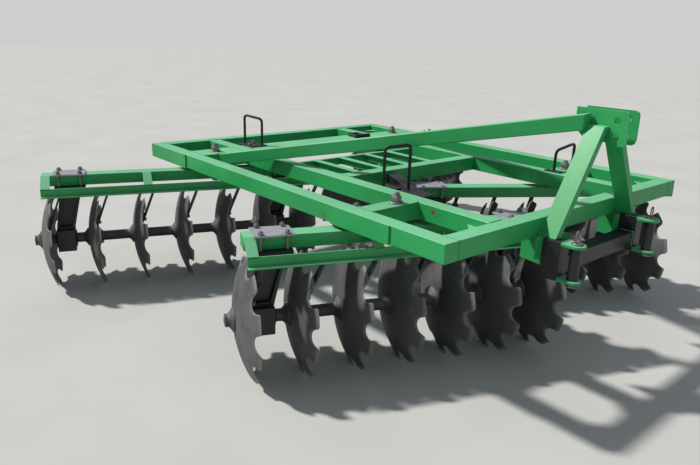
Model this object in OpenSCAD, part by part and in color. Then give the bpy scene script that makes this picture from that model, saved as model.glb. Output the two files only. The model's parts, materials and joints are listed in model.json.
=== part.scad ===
// Mounted disc harrow: a rectangular tube frame on a three-point hitch, carried by four disc gangs.
// X points to the machine's left, Y to the rear, Z up; the ground is z = 0.

/* [Frame] */
// Overall width over the two side rails
frame_w = 1880; // [1780:10:2000]
// Overall length of the side rails
frame_l = 2450; // [2350:10:2600]
// Side of the square frame tube
tube = 80; // [76:1:90]
// Distance of the inner bars' centre lines from the middle
inner_x = 545; // [500:5:600]
// Front pivot members, centre line behind the front face
front_member_y = 514; // [480:2:560]
// Width of the front pivot members
front_member_w = 88; // [84:1:100]
// Middle member, centre line behind the front face
mid_member_y = 1069; // [1065:1:1120]
// Rear pivot member, centre line before the rear end
rear_member_back = 446; // [390:2:480]
// Width of the rear pivot member
rear_member_w = 164; // [150:2:180]
// How far the front face lies in front of the part's origin
front_setback = 1188.4; // [1150:0.1:1250]

/* [Frame fittings] */
// Grid bar, rear face behind the front face
grid_end_y = 1600; // [1500:10:1700]
// Depth of the grid bar
grid_bar_w = 24; // [18:1:40]
// Width and height of a grid bar's legs
grid_leg = 44; // [36:1:60]
// Thickness of the grid angles
grid_t = 5; // [4:0.5:8]
// Height of the frame's top above the grid's top
grid_drop = 30; // [20:1:34]
// Distance between the two inner grid angles' centres
grid_inner_gap = 208; // [160:2:240]
// Distance between the two outer grid angles' centres
grid_outer_gap = 592; // [500:2:640]
// Leg length of the front corner gussets
corner_leg = 110; // [80:5:150]
// Thickness of the gussets and side plates
gusset_t = 8; // [6:1:12]
// Rear side plates, length
rear_plate_l = 456; // [380:4:500]
// Front side plates, front end behind the front face
front_plate_y = 283; // [240:1:320]
// Front side plates, length
front_plate_l = 364; // [300:2:400]

/* [Tower] */
// Height of the tower legs' top above the frame's top
leg_top = 368; // [340:2:400]
// Distance of a leg's outer face from the middle at its top
leg_top_x = 80; // [72:1:90]
// Distance of a leg's outer face from the middle at the frame's top
leg_frame_x = 301; // [280:1:330]
// Width of a leg measured across the machine
leg_w = 40; // [34:1:50]
// Depth of a leg along the machine
leg_d = 80; // [70:1:90]
// Free space between the two top link plates
link_gap = 72; // [60:1:84]
// Thickness of a top link plate
link_plate_t = 10; // [8:1:14]
// Diameter of the top link holes
link_bore = 32; // [25:0.5:34]
// Top link holes, distance in front of the front face
link_hole_y = 114; // [104:1:124]
// Upper top link hole, height above the frame's top
link_hole_top = 395; // [388:1:402]
// Lower top link hole, height above the frame's top
link_hole_low = 327; // [322:1:334]
// How far the top link plates reach back behind the front face
link_plate_back = 75; // [40:5:110]
// Height of the stays at the tower end
stay_front_h = 69; // [60:1:80]
// Height of the stays at the rear end
stay_rear_h = 65; // [56:1:78]
// Height of the stays' top at the tower above the frame's top
stay_top = 415; // [400:1:425]
// Thickness of the stays
stay_t = 56; // [44:1:64]
// Distance of the stays' rear end from the middle
stay_rear_x = 742; // [735:1:760]

/* [Hitch] */
// Distance of the lower hitch pins from the middle
pin_x = 325; // [319:1:335]
// Lower hitch pins, distance in front of the front face
pin_y = 165; // [158:1:180]
// Diameter of the lower hitch pins
pin_d = 28; // [22:0.5:32]
// Width of a hitch block across the machine
hitch_block_w = 64; // [56:1:70]
// Front face of the hitch blocks in front of the front face
hitch_block_front = 114; // [106:1:120]
// Rear face of the hitch blocks in front of the front face
hitch_block_rear = 30; // [20:1:40]
// Height of a hitch block
hitch_block_h = 168; // [150:2:190]
// Height of the frame's top above the hitch blocks' top
hitch_block_drop = 76; // [72:1:84]
// Side of the hitch cross tube
hitch_tube = 70; // [60:1:80]
// Height of the frame's top above the cross tube's top
hitch_tube_drop = 150; // [140:1:160]
// Thickness of a clevis plate
clevis_t = 12; // [8:1:16]
// Radius of a hitch block's lower front edge
hitch_block_round = 3; // [2:1:4]
// Width of a clevis plate
clevis_w = 76; // [66:1:90]
// Free height between the clevis plates
clevis_gap = 140; // [120:1:150]

/* [Small fittings] */
// Thickness of the plates behind the hitch blocks
foot_t = 8; // [6:1:10]
// Width of the channel beside the middle
channel_w = 60; // [50:1:70]
// Height of the channel beside the middle
channel_h = 48; // [40:1:55]
// Front end of that channel, distance from the middle
channel_front_x = 435; // [420:5:450]
// Front end of that channel behind the front face
channel_front_y = 588; // [570:2:610]
// Rear end of that channel, distance from the middle
channel_rear_x = 228; // [210:2:250]
// Rear end of that channel before the middle member's centre line
channel_rear_gap = 88; // [76:1:100]
// Height of the frame's top above that channel's top
channel_drop = 15; // [12:1:20]
// Handle of the front lock pin behind the front face
handle_y = 795; // [780:1:810]
// Diameter of a handle's bar
handle_d = 16; // [12:1:20]

/* [Gangs] */
// Outer diameter of a disc
disc_d = 560; // [520:5:620]
// Thickness of a disc
disc_t = 5; // [4:0.5:7]
// Depth of a disc's dish
dish = 70; // [40:1:84]
// Diameter of the flat middle of a disc
disc_flat_d = 150; // [140:2:180]
// Notches around a disc
notches = 10; // [8:1:12]
// Radius of a notch
notch_r = 46; // [36:1:54]
// Distance from disc to disc along a front axle
front_pitch = 234; // [230:1:250]
// Distance from disc to disc along a rear axle
rear_pitch = 246; // [235:1:260]
// Free height between the discs and the gang beam
disc_gap = 40; // [30:1:50]
// Height of a gang beam
beam_h = 60; // [50:1:80]
// Width of a gang beam
beam_w = 90; // [80:1:100]
// Height of the pivot washers between beam and frame
pivot_washer_h = 18; // [16:1:30]
// Diameter of the pivot washers
pivot_washer_d = 86; // [70:2:88]
// Diameter of a pivot bolt
pivot_d = 30; // [24:1:36]
// Width across the flats of a pivot nut
pivot_nut = 46; // [40:1:50]
// Height of the pivot bolts above the frame's top
pivot_bolt_top = 62; // [50:1:80]
// Pivot clearance on the radius
pivot_fit = 0.4; // [0.2:0.1:0.8]
// Running gap under and over a gang beam
beam_fit = 0.3; // [0.2:0.1:0.5]
// Front pivots, distance from the middle
front_pivot_x = 680; // [660:2:700]
// Rear pivots, distance from the middle
rear_pivot_x = 744; // [720:2:770]
// Front right beam, from its pivot to the outer end
front_right_out = 680; // [640:5:720]
// Front right beam, from its pivot to the inner end
front_right_in = 770; // [740:5:790]
// Front right gang, outermost disc outwards from the pivot
front_right_disc = 720; // [700:5:730]
// Front right gang, how far its outer end is set back in degrees
front_right_swing = 22.5; // [20:0.5:25]
// Front left beam, from its pivot to the outer end
front_left_out = 680; // [640:5:720]
// Front left beam, from its pivot to the inner end
front_left_in = 905; // [895:5:920]
// Front left gang, outermost disc outwards from the pivot
front_left_disc = 475; // [465:5:490]
// Front left gang, how far its outer end is set forward in degrees
front_left_swing = 32.5; // [30:0.5:34]
// How far the front left clamps stand off their bearings towards the discs' open side
front_left_shift = 20; // [14:1:46]
// Rear beams, from their pivots to the outer end
rear_out = 963; // [930:1:1000]
// Rear beams, from their pivots to the inner end
rear_in = 560; // [540:5:600]
// Rear gangs, outermost disc outwards from the pivot
rear_disc = 990; // [970:5:1000]
// Rear gangs, how far their outer ends are set back in degrees
rear_swing = 20; // [17:0.5:22]

/* [Axles] */
// Diameter of a gang bolt
axle_d = 32; // [28:1:40]
// Diameter of a spool's tube
spool_d = 56; // [50:1:70]
// Diameter of a spool's bell at the disc
bell_d = 108; // [96:1:130]
// Length of a bell
bell_l = 30; // [26:1:40]
// Width of a bearing housing along the axle
housing_l = 96; // [80:1:110]
// Height of a bearing housing
housing_h = 124; // [110:1:150]
// Bearing clearance on the radius
bearing_fit = 0.5; // [0.3:0.1:1]

/* [Clamps and scrapers] */
// Length of a clamp plate along the beam
clamp_l = 172; // [150:1:190]
// Distance between a clamp's bolts along the beam
clamp_bolt_gap = 112; // [100:1:124]
// How far a clamp stands off its bearing towards the discs' open side
clamp_shift = 46; // [30:1:60]
// Width of a clamp plate across the beam
clamp_w = 134; // [126:1:150]
// Thickness of a clamp plate
clamp_t = 8; // [6:0.5:10]
// Diameter of a clamp bolt
clamp_bolt = 14; // [12:1:16]
// Height of a hanger's flange under the beam
flange_h = 28; // [16:1:32]
// Width of a hanger across the beam
hanger_w = 60; // [40:1:80]
// Wall of a hanger's legs
hanger_t = 16; // [12:1:24]
// Scraper bar, front edge in front of the beam's centre line
scraper_y = 160; // [152:1:175]
// Scraper bar, height of its front edge below the beam's bottom
scraper_drop = 18; // [10:1:30]
// Width of the scraper bar's legs
scraper_leg = 34; // [28:1:40]
// Thickness of the scraper bar and its straps
scraper_t = 6; // [5:0.5:8]
// Width of a strap
strap_w = 48; // [40:1:60]
// Distance from strap to strap
strap_pitch = 535; // [480:5:600]
// Width of a scraper arm
arm_w = 36; // [28:1:44]
// Thickness of a scraper arm
arm_t = 10; // [8:1:12]
// Top of a scraper arm beside its disc
arm_top_x = 120; // [110:1:130]
// Lower end of a scraper arm beside its disc
arm_low_x = 42; // [34:1:50]
// Lower end of a scraper arm, distance from the axle across the machine's length
arm_low_y = 100; // [90:1:115]
// Lower end of a scraper arm, height above the axle
arm_low_z = 76; // [66:1:90]

/* [Hidden] */
$fn = 48;
eps = 0.01;

rear_member_y = frame_l - rear_member_back;
axle_z = disc_d / 2;
beam_z = disc_d + disc_gap;
beam_top = beam_z + beam_h;
frame_z = beam_top + pivot_washer_h;
frame_top = frame_z + tube;
half_w = frame_w / 2;
bar_in = inner_x - tube / 2;
bar_out = inner_x + tube / 2;
mid_w = tube;
dish_sphere = (pow(disc_d / 2, 2) + pow(dish, 2)) / (2 * dish);
flat_depth = dish_sphere - sqrt(pow(dish_sphere, 2) - pow(disc_flat_d / 2, 2));
leg_slope = (leg_frame_x - leg_top_x) / leg_top;
dish_steps = 6;
channel_front = [-channel_front_x, channel_front_y];
channel_rear = [-channel_rear_x, mid_member_y - channel_rear_gap];
clevis_z = frame_top - hitch_block_drop - clevis_t;

// The gangs, seen outwards from their pivot: a positive swing sets the outer end back.
// side, pivot from the middle, pivot from the front, swing, reach outwards, reach inwards,
// outermost disc, discs, dish outwards or inwards, pitch, scrapers in front or behind,
// nuts or flat heads on the outer and the inner clamp, how far the clamps stand off their bearings
FRONT_RIGHT = [-1, front_pivot_x, front_member_y, front_right_swing, front_right_out, front_right_in,
    front_right_disc, 7, -1, front_pitch, -1, true, true, clamp_shift];
FRONT_LEFT = [1, front_pivot_x, front_member_y, -front_left_swing, front_left_out, front_left_in,
    front_left_disc, 7, 1, front_pitch, 1, false, false, front_left_shift];
REAR_RIGHT = [-1, rear_pivot_x, rear_member_y, rear_swing, rear_out, rear_in,
    rear_disc, 7, -1, rear_pitch, -1, true, false, clamp_shift];
REAR_LEFT = [1, rear_pivot_x, rear_member_y, rear_swing, rear_out, rear_in,
    rear_disc, 7, -1, rear_pitch, -1, true, false, clamp_shift];
GANGS = [FRONT_RIGHT, FRONT_LEFT, REAR_RIGHT, REAR_LEFT];

// Place of a disc along its axle, and the middle of the space behind it
function hub(g, i) = g[6] - i * g[9];
function space(g, i) = hub(g, i) - g[9] / 2 + g[8] * disc_t / 2;

// Places things measured from the front bar's front face
module from_front() {
    translate([0, -front_setback, 0]) children();
}

// A block between two corners
module block(low, high) {
    translate(low) cube(high - low);
}

// The same thing on both sides of the middle
module both_sides() {
    children();
    mirror([1, 0, 0]) children();
}

module side_rails() {
    color("mediumseagreen") from_front() both_sides()
        block([half_w - tube, 0, frame_z], [half_w, frame_l, frame_top]);
}

module end_bars() {
    color("mediumseagreen") from_front() for (y = [0, frame_l - tube])
        block([tube - half_w, y, frame_z], [half_w - tube, y + tube, frame_top]);
}

module inner_bars() {
    color("mediumseagreen") from_front() both_sides()
        block([bar_in, tube, frame_z], [bar_out, frame_l - tube, frame_top]);
}

module front_pivot_members() {
    color("mediumseagreen") from_front() both_sides() difference() {
        block([bar_out, front_member_y - front_member_w / 2, frame_z],
            [half_w - tube, front_member_y + front_member_w / 2, frame_top]);
        translate([front_pivot_x, front_member_y, frame_z - 1])
            cylinder(r = pivot_d / 2 + pivot_fit, h = tube + 2);
    }
}

module mid_member() {
    color("mediumseagreen") from_front()
        block([-bar_in, mid_member_y - mid_w / 2, frame_z], [bar_in, mid_member_y + mid_w / 2, frame_top]);
}

module rear_pivot_member() {
    low_y = rear_member_y - rear_member_w / 2;
    high_y = rear_member_y + rear_member_w / 2;
    color("mediumseagreen") from_front() {
        block([-bar_in, low_y, frame_z], [bar_in, high_y, frame_top]);
        both_sides() difference() {
            block([bar_out, low_y, frame_z], [half_w - tube, high_y, frame_top]);
            translate([rear_pivot_x, rear_member_y, frame_z - 1])
                cylinder(r = pivot_d / 2 + pivot_fit, h = tube + 2);
        }
    }
}

// Four angles and the bar that carries their rear ends
module grid() {
    top = frame_top - grid_drop;
    front = mid_member_y + mid_w / 2;
    color("mediumseagreen") from_front() {
        block([-bar_in, grid_end_y - grid_bar_w, top - grid_leg], [bar_in, grid_end_y, top]);
        for (gap = [grid_inner_gap, grid_outer_gap]) both_sides() {
            x = gap / 2;
            block([x - grid_leg / 2, front, top - grid_t],
                [x + grid_leg / 2, grid_end_y - grid_bar_w, top]);
            block([x - grid_t / 2, front, top - grid_leg],
                [x + grid_t / 2, grid_end_y - grid_bar_w, top - grid_t]);
        }
    }
}

// A flat corner plate with equal legs along +X and +Y
module corner_plate() {
    linear_extrude(gusset_t) polygon([[0, 0], [corner_leg, 0], [0, corner_leg]]);
}

module corner_gussets() {
    z = frame_z + tube / 2;
    color("mediumseagreen") from_front() both_sides() {
        translate([bar_out, tube, z]) corner_plate();
        translate([half_w - tube, tube, z]) mirror([1, 0, 0]) corner_plate();
        translate([half_w - tube, frame_l - tube, z]) rotate(180) corner_plate();
    }
}

module side_plates() {
    color("mediumaquamarine") from_front() both_sides() {
        block([half_w, frame_l - rear_plate_l, frame_z], [half_w + gusset_t, frame_l, frame_top]);
        block([half_w, front_plate_y, frame_z],
            [half_w + gusset_t, front_plate_y + front_plate_l, frame_top]);
    }
}

// Outer face of a tower leg at a height above the frame's top
function leg_x(z) = leg_frame_x - leg_slope * z;

module tower_legs() {
    foot = -hitch_block_drop;
    plate_x = link_gap / 2 + link_plate_t;
    color("mediumseagreen") from_front() both_sides() intersection() {
        translate([0, 0, frame_top]) rotate([90, 0, 0]) linear_extrude(leg_d)
            polygon([[leg_x(foot) - leg_w, foot], [leg_x(foot), foot],
                [leg_top_x, leg_top], [leg_top_x - leg_w, leg_top]]);
        block([plate_x, -leg_d, 0], [half_w, 0, frame_top + leg_top]);
    }
}

module top_link_plates() {
    color("mediumseagreen") from_front() both_sides()
        translate([link_gap / 2, 0, frame_top]) difference() {
            rotate([90, 0, 90]) linear_extrude(link_plate_t)
                polygon([[link_plate_back, 346], [link_plate_back, 435], [-142, 435], [-156, 429],
                    [-162, 415], [-163, 315], [-158, 297], [-146, 290], [-111, 290], [-leg_d, 300],
                    [20, 300]]);
            for (z = [link_hole_low, link_hole_top])
                translate([-1, -link_hole_y, z]) rotate([0, 90, 0])
                    cylinder(d = link_bore, h = link_plate_t + 2);
        }
}

// Two bars in V from the tower down to the rear pivot member
module stays() {
    end_y = rear_member_y - rear_member_w / 2;
    run_x = stay_rear_x - leg_top_x;
    plan = atan2(end_y, run_x);
    run = norm([run_x, end_y]);
    reach = 60;
    drop = stay_top / run;
    low_drop = (stay_top - stay_front_h + stay_rear_h) / run;
    color("mediumseagreen") from_front() both_sides() intersection() {
        translate([leg_top_x, 0, frame_top]) rotate([90, 0, plan]) translate([0, 0, -stay_t / 2])
            linear_extrude(stay_t) polygon([
                [-reach, stay_top - stay_front_h + reach * low_drop],
                [run + reach, -stay_rear_h - reach * low_drop],
                [run + reach, -reach * drop],
                [-reach, stay_top + reach * drop]]);
        block([link_gap / 2 + link_plate_t, 0, 0], [half_w, end_y, frame_top + 2 * leg_top]);
    }
}

module hitch_tube() {
    top = frame_top - hitch_tube_drop;
    mid_y = -(hitch_block_front + hitch_block_rear) / 2;
    inner = pin_x - hitch_block_w / 2;
    color("dimgray") from_front()
        block([-inner, mid_y - hitch_tube / 2, top - hitch_tube], [inner, mid_y + hitch_tube / 2, top]);
}

// A box that is rounded at its lower rear edge
module hitch_blocks() {
    top = frame_top - hitch_block_drop;
    low = top - hitch_block_h;
    round = 38;
    rear = -hitch_block_rear;
    front = -hitch_block_front;
    color("#222222") from_front() both_sides() translate([pin_x - hitch_block_w / 2, 0, 0])
        rotate([90, 0, 90]) linear_extrude(hitch_block_w) polygon(concat(
            [[rear, top], [front, top], [front, low + hitch_block_round], [front + hitch_block_round, low]],
            [for (a = [0:15:90]) [rear - round + round * sin(a), low + round - round * cos(a)]]));
}

module hitch_clevises() {
    low_z = clevis_z - clevis_gap - clevis_t;
    color("seagreen") from_front() both_sides() for (z = [low_z, clevis_z])
        difference() {
            union() {
                block([pin_x - clevis_w / 2, -pin_y, z],
                    [pin_x + clevis_w / 2, -hitch_block_front, z + clevis_t]);
                translate([pin_x, -pin_y, z]) cylinder(d = clevis_w, h = clevis_t);
            }
            translate([pin_x, -pin_y, z - 1]) cylinder(r = pin_d / 2 + pivot_fit, h = clevis_t + 2);
        }
}

module hitch_pins() {
    low_z = clevis_z - clevis_gap - clevis_t;
    head = 8;
    color("silver") from_front() both_sides() translate([pin_x, -pin_y, 0]) {
        translate([0, 0, low_z - 14]) cylinder(d = pin_d, h = clevis_gap + 2 * clevis_t + 24);
        translate([0, 0, clevis_z + clevis_t]) cylinder(d = pin_d + 18, h = head);
    }
}

// Plates that tie the hitch blocks to the front bar and to the tower's feet
module hitch_gussets() {
    color("mediumseagreen") from_front() both_sides() {
        translate([pin_x - gusset_t / 2, 0, frame_z]) rotate([90, 0, 90]) linear_extrude(gusset_t)
            polygon([[90, 0], [46, 0], [foot_t - hitch_block_rear, -52],
                [foot_t - hitch_block_rear, -127], [90, -120]]);
        block([pin_x - 75, -hitch_block_rear, frame_z - 82],
            [pin_x + 75, foot_t - hitch_block_rear, frame_top - hitch_block_drop]);
    }
}

// A channel from the right inner bar to the middle member, with its two seats
module depth_channel() {
    top = frame_top - channel_drop;
    run = norm(channel_rear - channel_front);
    color("#222222") from_front() {
        intersection() {
            translate([channel_front[0], channel_front[1], top - channel_h])
                rotate(atan2(channel_rear[1] - channel_front[1], channel_rear[0] - channel_front[0]))
                    difference() {
                        block([0, -channel_w / 2, 0], [run + 90, channel_w / 2, channel_h]);
                        block([-1, 5 - channel_w / 2, -1], [run + 91, channel_w / 2 - 5, channel_h - 6]);
                    }
            block([-bar_in, 0, 0], [bar_in, mid_member_y - mid_w / 2, frame_top]);
        }
        block([-bar_in, channel_front[1] - 50, top], [channel_front[0] + 40, channel_front[1] + 60, top + 8]);
        block([-bar_in, handle_y - 50, top - 10], [-bar_in + 90, handle_y + 50, top]);
    }
}

// A round bar along a row of points, with a knuckle at each bend
module rod(points) {
    for (i = [0:len(points) - 2]) {
        d = points[i + 1] - points[i];
        translate(points[i]) rotate([0, acos(d[2] / norm(d)), atan2(d[1], d[0])])
            cylinder(d = handle_d, h = norm(d));
    }
    for (i = [1:len(points) - 2]) translate(points[i]) sphere(d = handle_d + 2);
}

// Bent handles of the lock pins, standing in their seats, and one laid down
module lock_handles() {
    color("#222222") from_front() translate([0, 0, frame_top]) {
        near = -bar_in;
        front = front_member_y;
        rear = rear_member_y;
        rod([[near + 15, handle_y, -channel_drop], [near + 15, handle_y, 187],
            [near + 105, handle_y - 83, 204], [near + 105, handle_y - 83, -channel_drop]]);
        block([near + 5, rear - 14, 0], [near + 125, rear + 146, 8]);
        rod([[near + 48, rear + 127, 8], [near + 48, rear + 127, 188],
            [near + 102, rear + 10, 170], [near + 102, rear + 10, 8]]);
        block([bar_in - 170, rear - 64, 0], [bar_in - 40, rear - 40, 24]);
        rod([[bar_in - 155, rear - 40, 12], [bar_in - 155, rear + 56, 12],
            [bar_in - 55, rear + 56, 12], [bar_in - 55, rear - 40, 12]]);
        block([bar_out - 60, front - 64, 0], [bar_out - 20, front + 36, 8]);
        rod([[inner_x, front - 14, 8], [inner_x, front - 14, 119],
            [inner_x, front - 119, 177], [inner_x, front - 119, 0]]);
    }
}

// Everything that stands on a pivot
module at_pivots() {
    from_front() for (g = GANGS)
        translate([g[0] * g[1], g[2], 0]) children();
}

module pivot_bolts() {
    head_h = 18;
    nut_h = 24;
    color("silver") at_pivots() {
        translate([0, 0, beam_z - beam_fit - head_h])
            cylinder(d = pivot_nut * 1.15, h = head_h, $fn = 6);
        translate([0, 0, beam_z - beam_fit])
            cylinder(d = pivot_d, h = frame_top + pivot_bolt_top - beam_z + beam_fit);
        translate([0, 0, frame_top]) cylinder(d = pivot_washer_d - 20, h = 8);
        translate([0, 0, frame_top + 8]) cylinder(d = pivot_nut * 1.15, h = nut_h, $fn = 6);
    }
}

module pivot_washers() {
    color("mediumseagreen") at_pivots() translate([0, 0, beam_top + beam_fit]) difference() {
        cylinder(d = pivot_washer_d, h = pivot_washer_h - beam_fit);
        translate([0, 0, -1]) cylinder(r = pivot_d / 2 + pivot_fit, h = pivot_washer_h + 2);
    }
}

// Places a gang's pieces: x outwards along its beam from the pivot, y to the rear
module at_gang(g) {
    from_front() mirror([g[0] < 0 ? 1 : 0, 0, 0])
        translate([g[1], g[2], 0]) rotate(g[3]) children();
}

module gang_beam(g) {
    color("mediumseagreen") at_gang(g) difference() {
        block([-g[5], -beam_w / 2, beam_z], [g[4], beam_w / 2, beam_top]);
        translate([0, 0, beam_z - 1]) cylinder(r = pivot_d / 2 + pivot_fit, h = beam_h + 2);
    }
}

// A cylinder at each of a clamp's four bolts
module clamp_holes(z, h) {
    y = (beam_w + clamp_bolt) / 2 + 1;
    for (i = [-1, 1], j = [-1, 1])
        translate([i * clamp_bolt_gap / 2, j * y, z]) cylinder(d = clamp_bolt, h = h);
}

// A clamp at one place of the beam: top plate, four bolts beside the beam, nuts or flat heads
module clamp(x, nuts) {
    y = (beam_w + clamp_bolt) / 2 + 1;
    low = beam_z - flange_h;
    high = beam_top + clamp_t;
    translate([x, 0, 0]) {
        block([-clamp_l / 2, -clamp_w / 2, beam_top], [clamp_l / 2, clamp_w / 2, high]);
        clamp_holes(low, high - low + (nuts ? 22 : 4));
        for (i = [-1, 1], j = [-1, 1]) translate([i * clamp_bolt_gap / 2, j * y, high]) {
            if (nuts) cylinder(d = 27, h = 13, $fn = 6);
            else cylinder(d = 26, h = 4);
        }
    }
}

// Where a gang's two clamps sit, as steps from the outermost disc
function clamp_spaces(g) = [0, g[7] - 2];

module gang_clamps(g) {
    color("lightgray") at_gang(g) for (i = [0, 1])
        clamp(space(g, clamp_spaces(g)[i]) + g[8] * g[13], g[11 + i]);
}

// A hanger: flange under the beam, two splayed legs and the bearing housing
module hanger(x, lean) {
    low = axle_z + housing_h / 2;
    top = beam_z - flange_h;
    half_top = 56;
    half_low = housing_l / 2;
    window = top - 1.4 * hanger_t;
    translate([x, 0, 0]) {
        difference() {
            translate([lean, 0, 0])
                block([6 - clamp_l / 2, -clamp_w / 2, top], [clamp_l / 2 - 6, clamp_w / 2, beam_z]);
            translate([lean, 0, 0]) clamp_holes(top - 1, flange_h + 2);
        }
        rotate([90, 0, 0]) translate([0, 0, -hanger_w / 2]) linear_extrude(hanger_w) difference() {
            polygon([[-half_low, low], [half_low, low], [lean + half_top, top], [lean - half_top, top]]);
            polygon([[hanger_t - half_low, low + hanger_t], [half_low - hanger_t, low + hanger_t],
                [lean + half_top - hanger_t, window], [lean - half_top + hanger_t, window]]);
        }
        difference() {
            block([-half_low, -hanger_w, axle_z - housing_h / 2], [half_low, hanger_w, low]);
            translate([-half_low - 1, 0, axle_z]) rotate([0, 90, 0])
                cylinder(r = spool_d / 2 + bearing_fit, h = housing_l + 2);
        }
    }
}

module gang_hangers(g) {
    color("#222222") at_gang(g) for (i = clamp_spaces(g)) hanger(space(g, i), g[8] * g[13]);
}

// A flat bar between two points, its width across the machine's length
module strut(a, b, w, t) {
    d = b - a;
    translate(a) rotate([0, acos(d[2] / norm(d)), atan2(d[1], d[0])])
        translate([-t / 2, -w / 2, 0]) cube([t, w, norm(d)]);
}

// Inner end of a gang's scraper bar: past the beam where the innermost arm needs it
function bar_end(g) = g[8] < 0 ? max(g[5], arm_top_x + 30 - hub(g, g[7] - 1)) : g[5];

module scraper_straps(g) {
    bar_z = beam_z - scraper_drop;
    back = scraper_leg / sqrt(2);
    top = [-beam_w / 2, beam_top];
    foot = [-scraper_y + back, bar_z + back];
    count = floor((g[4] + g[5] - strap_w) / strap_pitch);
    for (i = [0:count]) translate([g[4] - strap_w - i * strap_pitch, 0, 0])
        rotate([90, 0, 90]) linear_extrude(strap_w)
            polygon([top, top - [0, scraper_t * 1.2], foot - [0, scraper_t * 1.2], foot]);
}

module scraper_bar(g) {
    bar_z = beam_z - scraper_drop;
    translate([-bar_end(g), -scraper_y, bar_z]) rotate([90, 0, 90]) linear_extrude(g[4] + bar_end(g))
        rotate(-45) {
            square([scraper_leg, scraper_t]);
            square([scraper_t, scraper_leg]);
        }
}

// Scraper bar, its straps and an arm for each disc, in front of the beam or behind it
module gang_scrapers(g) {
    bar_z = beam_z - scraper_drop;
    color("seagreen") at_gang(g) mirror([0, g[10] > 0 ? 1 : 0, 0]) {
        scraper_bar(g);
        scraper_straps(g);
    }
    color("#222222") at_gang(g) mirror([0, g[10] > 0 ? 1 : 0, 0]) for (i = [0:g[7] - 1])
        strut([hub(g, i) + g[8] * arm_top_x, -scraper_y + 18, bar_z - 14],
            [hub(g, i) + g[8] * arm_low_x, -arm_low_y, axle_z + arm_low_z], arm_w, arm_t);
}

// A bell that widens from the spool to the disc, its wide face at x = 0
module bell() {
    thin = spool_d / 2;
    step = bell_d / 2 - thin;
    rotate([0, 90, 0]) rotate_extrude() polygon([[axle_d / 2, 0], [thin + step, 0],
        [thin + step, 6], [thin + 0.54 * step, 12], [thin + 0.2 * step, bell_l - 11],
        [thin, bell_l], [axle_d / 2, bell_l]]);
}

// From one disc's concave face to the next disc's convex face
module spool(pitch) {
    length = pitch - disc_t;
    bell();
    translate([length, 0, 0]) mirror([1, 0, 0]) bell();
    translate([bell_l, 0, 0]) rotate([0, 90, 0]) cylinder(d = spool_d, h = length - 2 * bell_l);
}

// Places a thing on the axle, x towards the open side of the discs
module on_axle(g, hub) {
    translate([hub, 0, axle_z]) mirror([g[8] < 0 ? 1 : 0, 0, 0]) children();
}

module gang_axle(g) {
    last = g[7] - 1;
    low_hub = g[8] > 0 ? hub(g, last) : hub(g, 0);
    high_hub = g[8] > 0 ? hub(g, 0) : hub(g, last);
    tail = bell_l + 14;
    color("#222222") at_gang(g) {
        for (i = [0:last - 1]) on_axle(g, low_hub + g[8] * i * g[9]) translate([disc_t, 0, 0]) spool(g[9]);
        on_axle(g, low_hub) mirror([1, 0, 0]) bell();
        on_axle(g, high_hub) translate([disc_t, 0, 0]) bell();
        on_axle(g, low_hub) translate([-tail, 0, 0]) rotate([0, 90, 0])
            cylinder(d = axle_d, h = last * g[9] + disc_t + 2 * tail);
    }
}

// Depth of the dish at a radius, measured from the flat middle
function dish_at(r) = dish_sphere - sqrt(pow(dish_sphere, 2) - pow(r, 2)) - flat_depth;

// A notched dished disc, its convex face at x = 0 and its open side towards +x
module disc() {
    flat_r = disc_flat_d / 2;
    step = (disc_d / 2 - flat_r) / dish_steps;
    radii = [for (i = [0:dish_steps]) flat_r + i * step];
    convex = [for (r = radii) [r, dish_at(r)]];
    concave = [for (i = [dish_steps:-1:0]) [radii[i], dish_at(radii[i]) + disc_t]];
    difference() {
        rotate([0, 90, 0]) rotate_extrude($fn = 96)
            polygon(concat([[axle_d / 2, 0]], convex, concave, [[axle_d / 2, disc_t]]));
        for (i = [0:notches - 1]) rotate([i * 360 / notches, 0, 0])
            translate([-2, disc_d / 2, 0]) rotate([0, 90, 0]) cylinder(r = notch_r, h = dish + 22);
    }
}

module gang_discs(g) {
    color("gray") at_gang(g) for (i = [0:g[7] - 1]) on_axle(g, hub(g, i)) disc();
}

side_rails();
end_bars();
inner_bars();
front_pivot_members();
mid_member();
rear_pivot_member();
grid();
corner_gussets();
side_plates();
tower_legs();
top_link_plates();
stays();
hitch_tube();
hitch_blocks();
hitch_gussets();
depth_channel();
lock_handles();
hitch_clevises();
hitch_pins();
pivot_bolts();
pivot_washers();
gang_beam(FRONT_RIGHT);  // front_right_beam
gang_clamps(FRONT_RIGHT);  // front_right_clamps
gang_hangers(FRONT_RIGHT);  // front_right_hangers
gang_scrapers(FRONT_RIGHT);  // front_right_scrapers
gang_axle(FRONT_RIGHT);  // front_right_axle
gang_discs(FRONT_RIGHT);  // front_right_discs
gang_beam(FRONT_LEFT);  // front_left_beam
gang_clamps(FRONT_LEFT);  // front_left_clamps
gang_hangers(FRONT_LEFT);  // front_left_hangers
gang_scrapers(FRONT_LEFT);  // front_left_scrapers
gang_axle(FRONT_LEFT);  // front_left_axle
gang_discs(FRONT_LEFT);  // front_left_discs
gang_beam(REAR_RIGHT);  // rear_right_beam
gang_clamps(REAR_RIGHT);  // rear_right_clamps
gang_hangers(REAR_RIGHT);  // rear_right_hangers
gang_scrapers(REAR_RIGHT);  // rear_right_scrapers
gang_axle(REAR_RIGHT);  // rear_right_axle
gang_discs(REAR_RIGHT);  // rear_right_discs
gang_beam(REAR_LEFT);  // rear_left_beam
gang_clamps(REAR_LEFT);  // rear_left_clamps
gang_hangers(REAR_LEFT);  // rear_left_hangers
gang_scrapers(REAR_LEFT);  // rear_left_scrapers
gang_axle(REAR_LEFT);  // rear_left_axle
gang_discs(REAR_LEFT);  // rear_left_discs
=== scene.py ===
import json
import math
import random

import bmesh
import bpy
from mathutils import Matrix, Vector


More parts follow.
